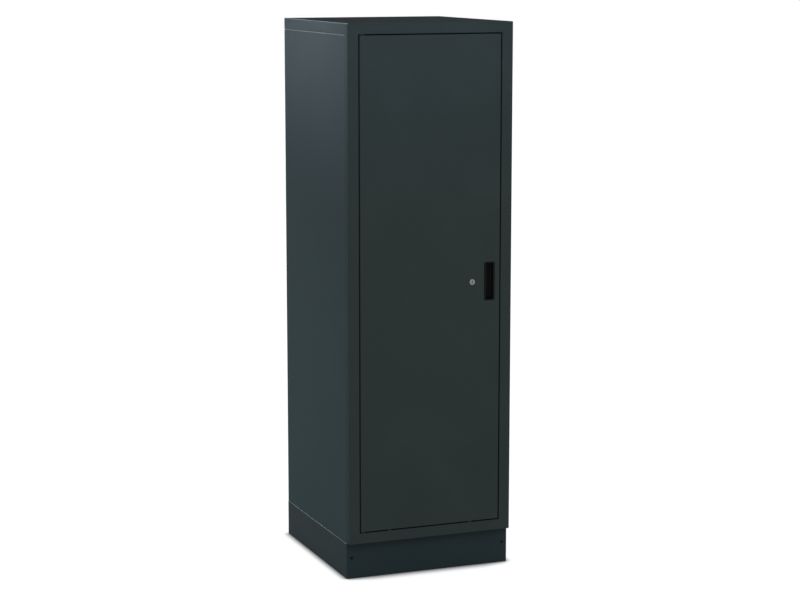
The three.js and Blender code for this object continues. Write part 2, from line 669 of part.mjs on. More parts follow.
// Hat section between the door's skin and its lips.
function stiffenerGeometry() {
  const halfCrown = STIFFENER_CROWN / 2;
  const rise = DOOR_THICKNESS - 2 * (DOOR_SHEET + FIT_GAP) - STIFFENER_SHEET;
  const section = foldedSection([
    [-halfCrown - STIFFENER_FOOT, 0],
    [-halfCrown, 0],
    [-halfCrown, rise],
    [halfCrown, rise],
    [halfCrown, 0],
    [halfCrown + STIFFENER_FOOT, 0],
  ], STIFFENER_SHEET);
  return extrude(section, doorHeight - 2 * stiffenerStart);
}

const doorMiddleX = doorWidth / 2 - PIVOT_FROM_EDGE;
const stiffenerY = doorFaceY + DOOR_SHEET + FIT_GAP;
addPiece(door, "door_pan", doorPanGeometry(), paintedDoor);
addPiece(door, "door_stiffener", stiffenerGeometry(), paintedDoor, [doorMiddleX, stiffenerY, stiffenerStart]);
addPiece(door, "pull_cup", pullGeometry(), blackPlastic, [pullX, doorFaceY, middleHeight]);

// Hinges, turned about the hinge axis: a headed pin through the rail and a flanged bush in the door

const bushFlange = DOOR_GAP - 2 * FIT_GAP;

// Upper pin about z, with the door's upper edge at z = 0.
function pinGeometry() {
  const headBottom = DOOR_GAP + FRAME_SHEET + FIT_GAP;
  const profile = [
    [0, -PIN_REACH],
    [PIN_RADIUS - PIN_TIP_CHAMFER, -PIN_REACH],
    [PIN_RADIUS, PIN_TIP_CHAMFER - PIN_REACH],
    [PIN_RADIUS, headBottom],
    [PIN_HEAD_RADIUS, headBottom],
    [PIN_HEAD_RADIUS, headBottom + PIN_HEAD_HEIGHT],
    [0, headBottom + PIN_HEAD_HEIGHT],
  ];
  return revolve(profile).rotateX(Math.PI / 2);
}

// Upper bush about z, with the door's upper edge at z = 0. Its flange fills the door's gap.
function bushGeometry() {
  const bore = PIN_RADIUS + RUNNING_GAP;
  const profile = [
    [bore, -BUSH_REACH],
    [bushRadius, -BUSH_REACH],
    [bushRadius, FIT_GAP],
    [bushRadius + BUSH_FLANGE_WIDTH, FIT_GAP],
    [bushRadius + BUSH_FLANGE_WIDTH, FIT_GAP + bushFlange],
    [bore, FIT_GAP + bushFlange],
    [bore, -BUSH_REACH],
  ];
  return revolve(profile).rotateX(Math.PI / 2);
}

const pin = pinGeometry();
const bush = bushGeometry();
const upsideDown = [Math.PI, 0, 0];
const pivot = [door.position.x, door.position.y];
addPiece(locker, "hinge_pin_top", pin, zincPlated, [...pivot, doorBottom + doorHeight]);
addPiece(locker, "hinge_pin_bottom", pin, zincPlated, [...pivot, doorBottom], upsideDown);
addPiece(door, "hinge_bush_top", bush, greyNylon, [0, 0, doorHeight]);
addPiece(door, "hinge_bush_bottom", bush, greyNylon, [0, 0, 0], upsideDown);

// Lock: about y, with the door's face at y = 0

const lock = new THREE.Group();
lock.position.set(lockX, doorFaceY, middleHeight);
door.add(lock);

const barrelBack = camFront - LOCK_TAIL;

function barrelGeometry() {
  const bore = PLUG_RADIUS + RUNNING_GAP;
  return revolve([
    [bore, -LOCK_FACE_HEIGHT],
    [LOCK_FACE_RADIUS - LOCK_FACE_CHAMFER, -LOCK_FACE_HEIGHT],
    [LOCK_FACE_RADIUS, LOCK_FACE_CHAMFER - LOCK_FACE_HEIGHT],
    [LOCK_FACE_RADIUS, -FIT_GAP],
    [LOCK_BODY_RADIUS, -FIT_GAP],
    [LOCK_BODY_RADIUS, barrelBack],
    [bore, barrelBack],
    [bore, -LOCK_FACE_HEIGHT],
  ]);
}

// Plug with its keyway upright, and a square tail with a tapped hole for the cam screw.
function plugGeometry() {
  const face = PLUG_RECESS - LOCK_FACE_HEIGHT;
  const halfTail = TAIL_SIDE / 2;
  const body = join(
    roundBar(PLUG_RADIUS, face, barrelBack),
    box([-halfTail, barrelBack - LOCK_TAIL, -halfTail], [halfTail, camBack, halfTail]),
  );
  const keyway = box(
    [-KEYWAY_WIDTH / 2, face - KEYWAY_DEPTH, -KEYWAY_LENGTH / 2],
    [KEYWAY_WIDTH / 2, face + KEYWAY_DEPTH, KEYWAY_LENGTH / 2],
  );
  const tappingEnd = camBack - CAM_SCREW_REACH - FIT_GAP;
  const tapping = roundBar(CAM_SCREW_RADIUS + FIT_GAP, tappingEnd, camBack + FIT_GAP);
  return cut(body, keyway, tapping);
}

// Double crank: an oblong plate on the square tail, with a pin at each end for one rod. Unlocked, the
// plate slopes down to the right, and the pin for the upper rod is the lower one.
function camGeometry() {
  const plate = new THREE.Shape();
  plate.absarc(CRANK_RADIUS, 0, CAM_END_RADIUS, -Math.PI / 2, Math.PI / 2);
  plate.absarc(-CRANK_RADIUS, 0, CAM_END_RADIUS, Math.PI / 2, 1.5 * Math.PI);
  const blank = turned(extrude(plate, CAM_THICKNESS), X, Z).translate(0, camBack, 0);
  const crankPin = roundBar(CRANK_PIN_RADIUS, camFront, rodBack + CRANK_PIN_PROUD);
  const crank = join(
    blank,
    crankPin.clone().translate(CRANK_RADIUS, 0, 0),
    crankPin.clone().translate(-CRANK_RADIUS, 0, 0),
  ).rotateY(CRANK_HALF_TURN);
  const hole = TAIL_SIDE / 2 + FIT_GAP;
  return cut(crank, box([-hole, camFront - CAM_THICKNESS, -hole], [hole, camBack + FIT_GAP, hole]));
}

function camScrewGeometry() {
  const headBottom = camBack + FIT_GAP;
  const headTop = headBottom + CAM_SCREW_HEAD_HEIGHT;
  const body = revolve([
    [0, camBack - CAM_SCREW_REACH],
    [CAM_SCREW_RADIUS, camBack - CAM_SCREW_REACH],
    [CAM_SCREW_RADIUS, headBottom],
    [CAM_SCREW_HEAD_RADIUS, headBottom],
    [CAM_SCREW_HEAD_RADIUS, headTop],
    [0, headTop],
  ]);
  const slot = box(
    [-2 * CAM_SCREW_HEAD_RADIUS, headTop - CAM_SCREW_SLOT, -CAM_SCREW_SLOT / 2],
    [2 * CAM_SCREW_HEAD_RADIUS, headTop + CAM_SCREW_SLOT, CAM_SCREW_SLOT / 2],
  );
  return cut(body, slot);
}

function nutGeometry() {
  const nut = new THREE.CylinderGeometry(NUT_RADIUS, NUT_RADIUS, NUT_HEIGHT, 6);
  const start = DOOR_SHEET + FIT_GAP;
  return cut(
    nut.translate(0, start + NUT_HEIGHT / 2, 0),
    roundBar(LOCK_BODY_RADIUS + RUNNING_GAP, 0, start + 2 * NUT_HEIGHT),
  );
}

addPiece(lock, "lock_barrel", barrelGeometry(), nickelPlated);
addPiece(lock, "lock_nut", nutGeometry(), zincPlated);
addPiece(lock, "lock_plug", plugGeometry(), nickelPlated);
addPiece(lock, "lock_cam", camGeometry(), zincPlated);
addPiece(lock, "cam_screw", camScrewGeometry(), zincPlated);

// Locking rods: flat bars that run up and down from the cam, each through a guide on the door's lip

const pinDrop = CRANK_RADIUS * Math.sin(CRANK_HALF_TURN);
const stopEdge = doorHeight / 2 + DOOR_GAP - STOP_LIP; // stop lip's edge from the lock axis
const rodTip = stopEdge - ROD_TIP_CLEARANCE;
const yokeHalfHeight = CRANK_PIN_RADIUS + YOKE_CLEARANCE;
const yokeHalfWidth = CRANK_RADIUS - rodOffset + CRANK_PIN_RADIUS + YOKE_CLEARANCE;

// Upper rod in its drawn-in place, seen from the lock axis. A cross slot near its lower end takes the
// crank pin, and its tip is tapered to slip behind the stop lip.
function rodGeometry() {
  const halfWidth = ROD_WIDTH / 2;
  const lowerEnd = -pinDrop - yokeHalfHeight - YOKE_MARGIN;
  const outline = new THREE.Shape();
  outline.moveTo(-halfWidth, lowerEnd);
  outline.lineTo(halfWidth, lowerEnd);
  outline.lineTo(halfWidth, rodTip - ROD_TIP_TAPER);
  outline.lineTo(halfWidth - ROD_TIP_TAPER, rodTip);
  outline.lineTo(-halfWidth + ROD_TIP_TAPER, rodTip);
  outline.lineTo(-halfWidth, rodTip - ROD_TIP_TAPER);
  const straight = yokeHalfWidth - yokeHalfHeight;
  const slot = new THREE.Path();
  slot.absarc(straight, -pinDrop, yokeHalfHeight, -Math.PI / 2, Math.PI / 2);
  slot.absarc(-straight, -pinDrop, yokeHalfHeight, Math.PI / 2, 1.5 * Math.PI);
  outline.holes.push(slot);
  return turned(extrude(outline, ROD_THICKNESS), X, Z).translate(rodOffset, rodBack, 0);
}

// Upper guide: a loop round the rod below the stop lip, and a foot that runs up the door's lip.
function guideGeometry() {
  const halfWidth = ROD_WIDTH / 2 + RUNNING_GAP + GUIDE_WALL;
  const halfSlot = ROD_WIDTH / 2 + RUNNING_GAP;
  const seat = DOOR_THICKNESS + FIT_GAP;
  const loopTop = rodTip - RUNNING_GAP;
  const loopBottom = loopTop - GUIDE_HEIGHT;
  const footBack = DOOR_THICKNESS + STOP_SPACE - GUIDE_LIP_CLEARANCE;
  const body = join(
    box([-halfWidth, seat, loopBottom], [halfWidth, guideBack, loopTop]),
    box([-halfWidth, seat, loopBottom], [halfWidth, footBack, loopTop + GUIDE_FOOT]),
  );
  const passage = box(
    [-halfSlot, rodFront - RUNNING_GAP, loopBottom - GUIDE_WALL],
    [halfSlot, rodBack + RUNNING_GAP, loopTop + GUIDE_WALL],
  );
  return cut(body, passage).translate(rodOffset, 0, 0);
}

const rod = rodGeometry();
const guide = guideGeometry();
const pointDown = [0, Math.PI, 0];
addPiece(lock, "upper_rod", rod, zincPlated);
addPiece(lock, "lower_rod", rod, zincPlated, [0, 0, 0], pointDown);
addPiece(lock, "rod_guide_top", guide, blackPlastic);
addPiece(lock, "rod_guide_bottom", guide, blackPlastic, [0, 0, 0], pointDown);

// Bumpers between the closed door and the right stile's lip, and pads under the door

function bumperGeometry() {
  const thickness = STOP_SPACE - 2 * FIT_GAP;
  return revolve([
    [0, 0],
    [BUMPER_RADIUS - BUMPER_CHAMFER, 0],
    [BUMPER_RADIUS, BUMPER_CHAMFER],
    [BUMPER_RADIUS, thickness],
    [0, thickness],
  ]);
}

const bumper = bumperGeometry();
const bumperX = right - STILE_FACE - DOOR_GAP - BUMPER_FROM_DOOR_EDGE;
const bumperY = front + DOOR_THICKNESS + FIT_GAP;
const upperBumperZ = doorBottom + doorHeight - BUMPER_FROM_DOOR_END;
const lowerBumperZ = doorBottom + BUMPER_FROM_DOOR_END;
addPiece(locker, "door_bumper_top", bumper, blackRubber, [bumperX, bumperY, upperBumperZ]);
addPiece(locker, "door_bumper_bottom", bumper, blackRubber, [bumperX, bumperY, lowerBumperZ]);

const padY = front + PAD_FROM_FRONT + PAD_DEPTH / 2;
const padZ = doorBottom - DOOR_GAP + FIT_GAP;
const pad = extrude(roundedRectangle(PAD_WIDTH, PAD_DEPTH, PAD_CORNER), DOOR_GAP - 2 * FIT_GAP);
addPiece(locker, "door_pad_left", pad, greyNylon, [-PAD_FROM_CENTRE, padY, padZ]);
addPiece(locker, "door_pad_right", pad, greyNylon, [PAD_FROM_CENTRE, padY, padZ]);

export default locker;
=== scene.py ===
import math

import bmesh
import bpy
from mathutils import Matrix, Vector


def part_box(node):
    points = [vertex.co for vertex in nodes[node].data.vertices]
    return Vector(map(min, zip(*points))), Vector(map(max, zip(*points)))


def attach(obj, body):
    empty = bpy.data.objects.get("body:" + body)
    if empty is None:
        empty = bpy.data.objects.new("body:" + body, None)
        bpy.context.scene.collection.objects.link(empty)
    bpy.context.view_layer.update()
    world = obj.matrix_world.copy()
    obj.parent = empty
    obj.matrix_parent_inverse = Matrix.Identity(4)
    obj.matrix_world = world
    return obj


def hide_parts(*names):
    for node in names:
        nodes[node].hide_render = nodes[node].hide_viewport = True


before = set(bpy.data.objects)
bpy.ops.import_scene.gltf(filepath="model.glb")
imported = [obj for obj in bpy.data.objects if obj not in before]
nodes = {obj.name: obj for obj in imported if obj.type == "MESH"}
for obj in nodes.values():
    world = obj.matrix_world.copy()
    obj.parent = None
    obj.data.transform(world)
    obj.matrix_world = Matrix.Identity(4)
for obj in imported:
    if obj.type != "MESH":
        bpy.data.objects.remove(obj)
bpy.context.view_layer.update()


# Front frame: four channels of 1.5 mm cold-rolled steel, folded with a stop lip behind the door,
# mitred and welded into one frame. The welds are ground flush before painting, so the face has no
# joint, and the outer returns meet the side panels and the cap 28 mm behind the front.
MM = 0.001
WIDTH = 632 * MM
FRONT = -344 * MM
HEIGHT = 2000 * MM
LEFT = -WIDTH / 2
RIGHT = WIDTH / 2
FRAME_DEPTH = 28 * MM
FRAME_SHEET = 1.5 * MM
STILE_FACE = 42 * MM
RAIL_FACE = 39 * MM
STOP_LIP = 12 * MM
PLINTH_HEIGHT = 133 * MM
INSIDE_BEND = 1.5 * MM
FIT_GAP = 0.3 * MM
FOLD_STEPS = 5
SQUARE_ON = 0.99
PEEL_SIZE = 2.2 * MM
PEEL_HEIGHT = 0.06 * MM
DRIFT_SIZE = 260 * MM


def linear(colour):
    """An sRGB hex colour as linear RGBA."""
    parts = [int(colour[i:i + 2], 16) / 255 for i in (1, 3, 5)]
    return [c / 12.92 if c <= 0.04045 else ((c + 0.055) / 1.055) ** 2.4 for c in parts] + [1.0]


def add(tree, kind, links=(), inputs=(), stops=(), **settings):
    """Adds a node: links holds (input, node, output), inputs (input, value), stops (place, colour)."""
    node = tree.nodes.new(kind)
    for name, value in settings.items():
        setattr(node, name, value)
    for socket, value in inputs:
        node.inputs[socket].default_value = value
    for socket, source, output in links:
        tree.links.new(source.outputs[output], node.inputs[socket])
    for number, (place, colour) in enumerate(stops):
        node.color_ramp.elements[number].position = place
        node.color_ramp.elements[number].color = linear(colour)
    return node


def new_material(name):
    """A named material with its node tree, its Principled shader and the Object coordinates."""
    material = bpy.data.materials.new(name)
    material.use_nodes = True
    tree = material.node_tree
    shader = next(n for n in tree.nodes if n.type == "BSDF_PRINCIPLED")
    place = add(tree, "ShaderNodeTexCoord")
    return material, tree, shader, place


def powder_coat(name, low, high, roughness, gloss):
    """Polyester powder coat, sprayed on and baked: a fine pebbled skin (orange peel), nearly matt, and
    a slow drift of colour and sheen over the sheet where the coat is thicker. The peel is about 1 mm
    in life and drawn at 2.2 mm, so that it shows in close views."""
    material, tree, shader, place = new_material(name)
    coords = ("Vector", place, "Object")
    drift = add(tree, "ShaderNodeTexNoise", [coords], [("Scale", 1 / DRIFT_SIZE), ("Detail", 3.0)])
    peel = add(tree, "ShaderNodeTexNoise", [coords],
               [("Scale", 1 / PEEL_SIZE), ("Detail", 2.0), ("Roughness", 0.45)])
    grain = add(tree, "ShaderNodeMix",
                [("Factor", drift, "Fac"), ("A", peel, "Fac"), ("B", drift, "Fac")])
    tint = add(tree, "ShaderNodeValToRGB", [("Fac", grain, "Result")], stops=((0.35, low), (0.68, high)))
    sheen = add(tree, "ShaderNodeMapRange", [("Value", drift, "Fac")],
                [("From Min", 0.3), ("From Max", 0.7),
                 ("To Min", roughness - 0.04), ("To Max", roughness + 0.04)])
    skin = add(tree, "ShaderNodeBump", [("Height", peel, "Fac")],
               [("Strength", 0.35), ("Distance", PEEL_HEIGHT)])
    tree.links.new(tint.outputs["Color"], shader.inputs["Base Color"])
    tree.links.new(sheen.outputs["Result"], shader.inputs["Roughness"])
    tree.links.new(skin.outputs["Normal"], shader.inputs["Normal"])
    shader.inputs["Specular IOR Level"].default_value = gloss
    return material


# One anthracite coat throughout. Copies of it carry painted light: a little darker on top and on the
# frame's returns, painted shade; nearly black inside the doorway, painted shade for the gap round the
# door; and paler along folds that look up and outwards, a painted highlight.
return_shade_paint = powder_coat("anthracite_powder_coat_painted_return_shade", "#222b2e", "#262f32", 0.85, 0.006)
top_shade_paint = powder_coat("anthracite_powder_coat_painted_top_shade", "#1f2628", "#232a2b", 0.85, 0.006)
front_paint = powder_coat("anthracite_powder_coat_front", "#242b29", "#282f2d", 0.8, 0.02)
doorway_shade_paint = powder_coat("anthracite_powder_coat_painted_doorway_shade", "#0e1213", "#131819", 0.85, 0.01)
fold_highlight_paint = powder_coat("anthracite_powder_coat_painted_fold_highlight", "#525b5e", "#6c7477", 0.5, 0.05)


def sized_box(low, high):
    """A bmesh box between two corners."""
    bm = bmesh.new()
    bmesh.ops.create_cube(bm, size=1.0)
    bmesh.ops.scale(bm, vec=[far - near for near, far in zip(low, high)], verts=bm.verts)
    bmesh.ops.translate(bm, vec=[(far + near) / 2 for near, far in zip(low, high)], verts=bm.verts)
    return bm


def facing(bm, direction):
    """The faces that look along a direction."""
    return [f for f in bm.faces if f.normal.dot(Vector(direction)) > SQUARE_ON]


def folds(bm):
    """The edges at which the sheet turns a corner."""
    bm.normal_update()
    return [e for e in bm.edges if len(e.link_faces) == 2 and e.calc_face_angle() > math.radians(60)]


def round_edges(bm, edges, radius, steps=FOLD_STEPS):
    """Rounds edges to a radius."""
    bmesh.ops.bevel(bm, geom=edges, offset=radius, segments=steps, profile=0.5, affect="EDGES",
                    material=-1, clamp_overlap=True)


def paint_fold_highlights(bm, steepest):
    """Gives the folds that look up and outwards the second material, a paler coat that is a painted
    highlight.
    """
    bm.normal_update()
    for face in bm.faces:
        if 0.2 < face.normal.z < steepest and abs(face.normal.x) > 0.2:
            face.material_index = 1


def finish_piece(name, bm, materials, body, replaced=(), sheet=0.0):
    """Turns a bmesh into a piece that rides on a body. A sheet gets its thickness inwards."""
    mesh = bpy.data.meshes.new(name)
    bm.to_mesh(mesh)
    bm.free()
    for material in materials:
        mesh.materials.append(material)
    mesh.shade_smooth()
    mesh.set_sharp_from_angle(angle=math.radians(40))
    piece = bpy.data.objects.new(name, mesh)
    bpy.context.scene.collection.objects.link(piece)
    if sheet:
        wall = piece.modifiers.new("sheet", "SOLIDIFY")
        wall.thickness = sheet
        wall.offset = -1.0
        wall.use_even_offset = True
    shading = piece.modifiers.new("flat_faces", "WEIGHTED_NORMAL")
    shading.keep_sharp = True
    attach(piece, body)
    if replaced:
        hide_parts(*replaced)
    return piece


bm = sized_box((LEFT, FRONT, PLINTH_HEIGHT), (RIGHT, FRONT + FRAME_DEPTH, HEIGHT))
bmesh.ops.delete(bm, geom=facing(bm, (0, 1, 0)), context="FACES_ONLY")
doorway = facing(bm, (0, -1, 0))
bmesh.ops.inset_individual(bm, faces=doorway, thickness=STILE_FACE, use_even_offset=True)
frame_middle = (HEIGHT + PLINTH_HEIGHT) / 2
doorway_half = (HEIGHT - PLINTH_HEIGHT) / 2 - RAIL_FACE
for vert in doorway[0].verts:
    vert.co.z = frame_middle + math.copysign(doorway_half, vert.co.z - frame_middle)
bmesh.ops.inset_individual(bm, faces=doorway, thickness=0, depth=FRAME_SHEET - FRAME_DEPTH)
bmesh.ops.inset_individual(bm, faces=doorway, thickness=STOP_LIP, use_even_offset=True)
bmesh.ops.delete(bm, geom=doorway, context="FACES_ONLY")
lip_y = FRONT + FRAME_DEPTH - FRAME_SHEET
lip_folds = [e for e in folds(bm) if all(abs(v.co.y - lip_y) < FIT_GAP for v in e.verts)]
round_edges(bm, lip_folds, INSIDE_BEND)
face_folds = [e for e in folds(bm) if all(abs(v.co.y - FRONT) < FIT_GAP for v in e.verts)]
welds = [e for e in folds(bm) if all(abs(v.co.x) > RIGHT - FIT_GAP for v in e.verts)
         and abs(e.verts[0].co.y - e.verts[1].co.y) > FIT_GAP]
round_edges(bm, face_folds + welds, INSIDE_BEND + FRAME_SHEET)
# The folds that look up and outwards get a paler coat, a painted highlight.
paint_fold_highlights(bm, steepest=0.8)
doorway_side = RIGHT - STILE_FACE + FIT_GAP
for face in bm.faces:
    middle = face.calc_center_median()
    behind = middle.y > FRONT + INSIDE_BEND + FRAME_SHEET
    inside = abs(middle.x) < doorway_side and abs(middle.z - frame_middle) < doorway_half + FIT_GAP
    # Faces behind the front inside the doorway take the near-black copy: painted shade that darkens the
    # gap round the door.
    if behind and inside:
        face.material_index = 2
    # The outer returns take a darker copy of the coat, painted shade.
    elif abs(face.normal.x) > SQUARE_ON:
        face.material_index = 3
    # Faces that look up take a darker copy of the coat, painted shade.
    elif face.normal.z > SQUARE_ON:
        face.material_index = 4
finish_piece("front_frame", bm, (front_paint, fold_highlight_paint, doorway_shade_paint, return_shade_paint, top_shade_paint),
             "cabinet", ("left_stile", "right_stile", "top_rail", "bottom_rail"), FRAME_SHEET)


# Side panels: 1.2 mm steel trays, folded in on all four edges and spot-welded behind the front frame.
# The fold along the upper edge shows as a fine bright line below the cap, a painted highlight.
BACK = 344 * MM
PANEL_SHEET = 1.2 * MM
PANEL_FLANGE = 18 * MM
CAP_SKIRT = 41 * MM
PANEL_FRONT = FRONT + FRAME_DEPTH + FIT_GAP
PANEL_TOP = HEIGHT - CAP_SKIRT - FIT_GAP
body_paint = powder_coat("anthracite_powder_coat_body", "#252f31", "#293335", 0.85, 0.006)


def folded_tray(low, high, open_sides, sheet):
    """A tray folded from sheet, without the walls on its open sides."""
    bm = sized_box(low, high)
    for side in open_sides:
        bmesh.ops.delete(bm, geom=facing(bm, side), context="FACES_ONLY")
    round_edges(bm, folds(bm), INSIDE_BEND + sheet)
    return bm


panel_low, panel_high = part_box("left_side_panel")
for side, outer, inwards in (("left", LEFT, 1), ("right", RIGHT, -1)):
    edges = sorted((outer, outer + inwards * PANEL_FLANGE))
    bm = folded_tray((edges[0], PANEL_FRONT, panel_low.z), (edges[1], BACK, PANEL_TOP),
                     [(inwards, 0, 0)], PANEL_SHEET)
    paint_fold_highlights(bm, steepest=0.97)
    finish_piece("side_panel_" + side, bm, (body_paint, fold_highlight_paint), "cabinet",
                 (side + "_side_panel",), PANEL_SHEET)


# Top cap: one sheet folded down on the sides and the back, corners welded and ground, set over the
# side panels with its front edge against the frame's upper return.
bm = folded_tray((LEFT, PANEL_FRONT, HEIGHT - CAP_SKIRT), (RIGHT, BACK, HEIGHT),
                 [(0, 0, -1), (0, -1, 0)], PANEL_SHEET)
# The folds that look up and outwards get a paler coat, a painted highlight.
paint_fold_highlights(bm, steepest=0.8)
# The top face takes a darker copy of the coat, painted shade.
for face in facing(bm, (0, 0, 1)):
    face.material_index = 2
finish_piece("roof_cap", bm, (body_paint, fold_highlight_paint, top_shade_paint), "cabinet", ("top_cap",),
             PANEL_SHEET)


# Back panel: a flat sheet between the side panels' rear flanges, held by a row of aluminium blind
# rivets down each flange and along the cap's skirt, painted over with the rest.
RIVET_RADIUS = 3.2 * MM
RIVET_DOME = 1.1 * MM
RIVET_PROFILE = ((0, 0), (1, 0), (0.92, 0.45), (0.62, 0.86), (0.3, 1), (0.26, 0.55), (0, 0.5))
RIVET_STEPS = 14
RIVET_PITCH = 203 * MM
RIVET_COUNT = 9
RIVET_FROM_EDGE = 9 * MM
LOWEST_RIVET = 240 * MM
CAP_RIVET_PITCH = 160 * MM
CAP_RIVET_COUNT = 4
CAP_RIVET_START = -240 * MM
MERGE_GAP = 0.01 * MM


def dress(material, *names):
    """Gives CAD nodes that stay in view their material."""
    for name in names:
        nodes[name].material_slots[0].material = material


def rivet_row(bm, start, step, count):
    """Domed rivet heads on the back, spun from a short profile with the pit that the mandrel left."""
    for number in range(count):
        head = bmesh.new()
        chain = [head.verts.new((RIVET_RADIUS * out, RIVET_DOME * up, 0)) for out, up in RIVET_PROFILE]
        profile = [head.edges.new(pair) for pair in zip(chain, chain[1:])]
        bmesh.ops.spin(head, geom=chain + profile, axis=(0, 1, 0), angle=2 * math.pi, steps=RIVET_STEPS,
                       use_merge=True)
        bmesh.ops.remove_doubles(head, verts=head.verts, dist=MERGE_GAP)
        bmesh.ops.translate(head, vec=Vector(start) + number * Vector(step), verts=head.verts)
        bmesh.ops.recalc_face_normals(head, faces=head.faces)
        spare = bpy.data.meshes.new("rivet")
        head.to_mesh(spare)
        head.free()
        bm.from_mesh(spare)
        bpy.data.meshes.remove(spare)


dress(body_paint, "back_panel")
bm = bmesh.new()
for x in (LEFT + RIVET_FROM_EDGE, RIGHT - RIVET_FROM_EDGE):
    rivet_row(bm, (x, BACK, LOWEST_RIVET), (0, 0, RIVET_PITCH), RIVET_COUNT)
rivet_row(bm, (CAP_RIVET_START, BACK, HEIGHT - CAP_SKIRT / 2), (CAP_RIVET_PITCH, 0, 0), CAP_RIVET_COUNT)
finish_piece("back_rivets", bm, (body_paint,), "cabinet")


# Floor: a tray folded from steel sheet, painted with the body, that stands on the plinth's flanges and
# closes the bottom of the locker.
dress(body_paint, "floor_tray")


# Plinth: four folded boards of 1.5 mm steel, the front one set back as a toe space, held together by
# two black socket screws through the front board.
PLINTH_SHEET = 1.5 * MM
SCREW_STREAK = 9 * MM
TOOL_MARK = 4 * MM
BATH_CLOUD = 18 * MM
# The plinth's coat is a darker copy of the anthracite, painted shade under the frame's overhang.
plinth_shade_paint = powder_coat("anthracite_powder_coat_painted_plinth_shade", "#1d2627", "#21292a", 0.8, 0.02)
for name, inwards in (("plinth_left", 1), ("plinth_right", -1)):
    low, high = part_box(name)
    bm = folded_tray(low, high, [(inwards, 0, 0)], PLINTH_SHEET)
    # The folds that look up and outwards get a paler coat, a painted highlight.
    paint_fold_highlights(bm, steepest=0.6)
    finish_piece(name + "_board", bm, (plinth_shade_paint, fold_highlight_paint), "cabinet", (name,),
                 PLINTH_SHEET)
dress(plinth_shade_paint, "plinth_front", "plinth_back")


def plated_metal(name, dark, light, roughness, streak):
    """Plated or blackened metal: a thin skin over turned or stamped metal, with faint streaks of the
    tool and a slight clouding from the bath."""
    material, tree, shader, place = new_material(name)
    streaks = add(tree, "ShaderNodeMapping", [("Vector", place, "Object")],
                  [("Scale", (1 / TOOL_MARK, 1 / TOOL_MARK, 1 / streak))])
    lines = add(tree, "ShaderNodeTexNoise", [("Vector", streaks, "Vector")],
                [("Scale", 1.0), ("Detail", 3.0)])
    cloud = add(tree, "ShaderNodeTexNoise", [("Vector", place, "Object")], [("Scale", 1 / BATH_CLOUD)])
    both = add(tree, "ShaderNodeMix", [("A", lines, "Fac"), ("B", cloud, "Fac")], [("Factor", 0.5)])
    tint = add(tree, "ShaderNodeValToRGB", [("Fac", both, "Result")], stops=((0.35, dark), (0.65, light)))
    dull = add(tree, "ShaderNodeMapRange", [("Value", both, "Result")],
               [("From Min", 0.3), ("From Max", 0.7),
                ("To Min", roughness - 0.06), ("To Max", roughness + 0.06)])
    tree.links.new(tint.outputs["Color"], shader.inputs["Base Color"])
    tree.links.new(dull.outputs["Result"], shader.inputs["Roughness"])
    shader.inputs["Metallic"].default_value = 1.0
    return material


black_oxide = plated_metal("black_oxide_steel", "#101213", "#1c1f20", 0.45, SCREW_STREAK)
dress(black_oxide, "plinth_screw_left", "plinth_screw_right")


# Shelving: four slotted uprights and four shelves of galvanised sheet, left bare, on zinc-plated clips.
# The zinc froze in flat crystals, which show as a spangle of paler and darker grey patches.
SPANGLE_SIZE = 14 * MM
FROST_SIZE = 3 * MM
ZINC_STREAK = 20 * MM
galvanized, tree, shader, place = new_material("galvanised_sheet_steel")
spangle = add(tree, "ShaderNodeTexVoronoi", [("Vector", place, "Object")],
              [("Scale", 1 / SPANGLE_SIZE), ("Randomness", 0.9)])
frost = add(tree, "ShaderNodeTexNoise", [("Vector", place, "Object")],
            [("Scale", 1 / FROST_SIZE), ("Detail", 3.0)])
crystal = add(tree, "ShaderNodeMix", [("A", spangle, "Color"), ("B", frost, "Fac")], [("Factor", 0.35)])
tint = add(tree, "ShaderNodeValToRGB", [("Fac", crystal, "Result")],
           stops=((0.0, "#868c90"), (1.0, "#b4babd")))
dull = add(tree, "ShaderNodeMapRange", [("Value", crystal, "Result")],
           [("To Min", 0.36), ("To Max", 0.56)])
tree.links.new(tint.outputs["Color"], shader.inputs["Base Color"])
tree.links.new(dull.outputs["Result"], shader.inputs["Roughness"])
shader.inputs["Metallic"].default_value = 0.9
zinc = plated_metal("zinc_plated_steel", "#9a9d9f", "#b3b7b9", 0.34, ZINC_STREAK)
dress(galvanized, *[name for name in nodes if name.startswith(("upright_", "shelf_"))])
dress(zinc, *[name for name in nodes if name.startswith("clip_")])


# Door: one sheet of 1.2 mm steel folded into a pan with a lip all round its back, corners welded and
# ground, and cut out for the pull and the lock. A hat section inside keeps its face flat.
DOOR_SHEET = 1.2 * MM
DOOR_LIP = 20 * MM
PULL_CUTOUT = ((213.4 * MM, 998.4 * MM), (247.6 * MM, 1134.6 * MM))
LOCK_HOLE_RADIUS = 9.4 * MM
LOCK_SQUARE = 13 * MM
RING_STEPS = 32
lock_low, lock_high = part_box("lock_barrel")
lock_axis = (lock_low + lock_high) / 2


def cut_window(bm, side, low, high):
    """Cuts a rectangle out of the faces on one side and gives its rim."""
    for corner in (low, high):
        for point, across in (((corner[0], 0, 0), (1, 0, 0)), ((0, 0, corner[1]), (0, 0, 1))):
            faces = facing(bm, side)
            edges = list(dict.fromkeys(e for f in faces for e in f.edges))
            verts = list(dict.fromkeys(v for f in faces for v in f.verts))
            bmesh.ops.bisect_plane(bm, geom=faces + edges + verts, plane_co=point, plane_no=across)
    middle = Vector(((low[0] + high[0]) / 2, 0, (low[1] + high[1]) / 2))
    window = [f for f in facing(bm, side)
              if abs(f.calc_center_median().x - middle.x) < MM
              and abs(f.calc_center_median().z - middle.z) < MM]
    rim = list(dict.fromkeys(e for f in window for e in f.edges))
    bmesh.ops.delete(bm, geom=window, context="FACES_ONLY")
    return rim


